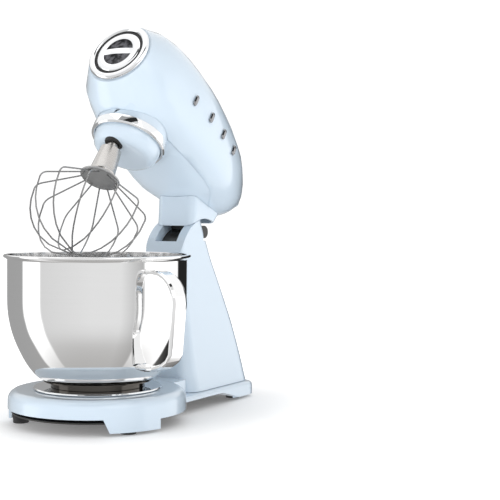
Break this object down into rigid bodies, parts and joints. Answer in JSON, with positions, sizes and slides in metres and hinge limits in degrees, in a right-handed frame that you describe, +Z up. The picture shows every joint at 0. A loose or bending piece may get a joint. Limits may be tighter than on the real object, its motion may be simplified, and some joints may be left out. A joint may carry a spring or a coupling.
{
  "type": "stand mixer",
  "caption": "Tilt-head stand mixer: pale enamelled base, column and head, steel bowl with strap handle, planetary drive and wire whisk, head raised.",
  "frame": {"origin": "centre of the bounding box at the level of the feet's undersides", "axes": "+Z up, -Y towards the front, where the whisk and hub are, +X to the side of the bowl's handle"},
  "size_m": [0.2736, 0.4406, 0.4983],
  "materials": {
    "board_green": "glass-fibre board",
    "bronze": "sintered bronze",
    "brushed_steel": "fine brushed",
    "cast_metal": "as cast",
    "chrome": "bright chrome plate",
    "copper": "lacquered windings on steel",
    "dark_plastic": "moulded, matte",
    "enamel": "gloss enamel on cast metal",
    "polished_steel": "mirror-polished stainless steel",
    "rubber": "matte",
    "satin_grey": "satin, bead blasted",
    "steel_wire": "drawn, bright"
  },
  "bodies": {
    "base": {"base_casting": "enamel", "base_cover": "dark_plastic", "column_casting": "enamel", "bowl_clamp_plate": "chrome", "cord_gland": "rubber", "hinge_pin": "brushed_steel", "button_spring": "brushed_steel", "foot_front_left": "rubber", "foot_front_right": "rubber", "foot_rear_left": "rubber", "foot_rear_right": "rubber"},
    "button": {"release_button": "dark_plastic"},
    "mixing_bowl": {"bowl": "polished_steel", "bowl_foot": "polished_steel", "bowl_handle": "polished_steel"},
    "head": {"head_upper_shell": "enamel", "head_underside_cover": "enamel", "rear_vent_grille": "enamel", "neck_shroud": "enamel", "hinge_drum": "dark_plastic", "hub_trim_ring": "chrome", "front_trim_ring": "chrome", "front_gasket_ring": "rubber", "attachment_socket": "cast_metal", "motor_stator": "copper", "motor_mount": "cast_metal", "motor_bearing": "brushed_steel", "gearbox_plate": "cast_metal", "carrier_bearing": "bronze", "ring_gear": "cast_metal", "control_board": "board_green", "side_mark_left_1": "chrome", "side_mark_left_2": "chrome", "side_mark_left_3": "chrome", "side_mark_left_4": "chrome", "side_mark_right_1": "chrome", "side_mark_right_2": "chrome", "side_mark_right_3": "chrome", "side_mark_right_4": "chrome"},
    "cover": {"hub_cover": "chrome"},
    "lever": {"speed_lever": "chrome"},
    "motor": {"motor_rotor": "copper", "motor_shaft": "brushed_steel", "cooling_fan": "dark_plastic"},
    "planet": {"planet_carrier": "enamel", "carrier_shaft": "brushed_steel", "bevel_wheel": "bronze"},
    "tool": {"output_shaft": "brushed_steel", "planet_gear": "bronze", "drive_pin_left": "brushed_steel", "drive_pin_right": "brushed_steel", "whisk_sleeve": "brushed_steel", "whisk_disc": "satin_grey", "whisk_wire_1": "steel_wire", "whisk_wire_2": "steel_wire", "whisk_wire_3": "steel_wire", "whisk_wire_4": "steel_wire", "whisk_wire_5": "steel_wire", "whisk_wire_6": "steel_wire"}
  },
  "joints": [
    {"name": "head_tilt", "type": "hinge", "parent": "base", "child": "head", "pos_m": [-0.02154, 0.10397, 0.1882], "axis": [1, 0, 0], "range_deg": [0, 33.3]},
    {"name": "bowl_twist", "type": "hinge", "parent": "base", "child": "mixing_bowl", "pos_m": [-0.02154, -0.10503, 0.045], "axis": [0, 0, 1], "range_deg": [0, 28]},
    {"name": "button_press", "type": "slide", "parent": "base", "child": "button", "axis": [0, 0, -1], "range_m": [0, 0.003], "stiffness_N_per_m": 800, "deforming": ["button_spring"]},
    {"name": "hub_cover_pull", "type": "slide", "parent": "head", "child": "cover", "axis": [0, -0.8358, 0.549], "range_m": [0, 0.03]},
    {"name": "speed_lever_slide", "type": "slide", "parent": "head", "child": "lever", "axis": [0, 0.7034, -0.7108], "range_m": [0, 0.03]},
    {"name": "planet_spin", "type": "hinge", "parent": "head", "child": "planet", "pos_m": [-0.02154, -0.04228, 0.34624], "axis": [0, 0.549, 0.8358], "continuous": true},
    {"name": "tool_spin", "type": "hinge", "parent": "planet", "child": "tool", "pos_m": [-0.02154, -0.07415, 0.34325], "axis": [0, 0.549, 0.8358], "continuous": true},
    {"name": "motor_spin", "type": "hinge", "parent": "head", "child": "motor", "pos_m": [-0.02154, 0.12592, 0.32908], "axis": [0, 0.8358, -0.549], "continuous": true}
  ],
  "couplings": [
    {"joint": "tool_spin", "follows": "planet_spin", "ratio": -3.0833},
    {"joint": "motor_spin", "follows": "planet_spin", "ratio": 2.2}
  ]
}
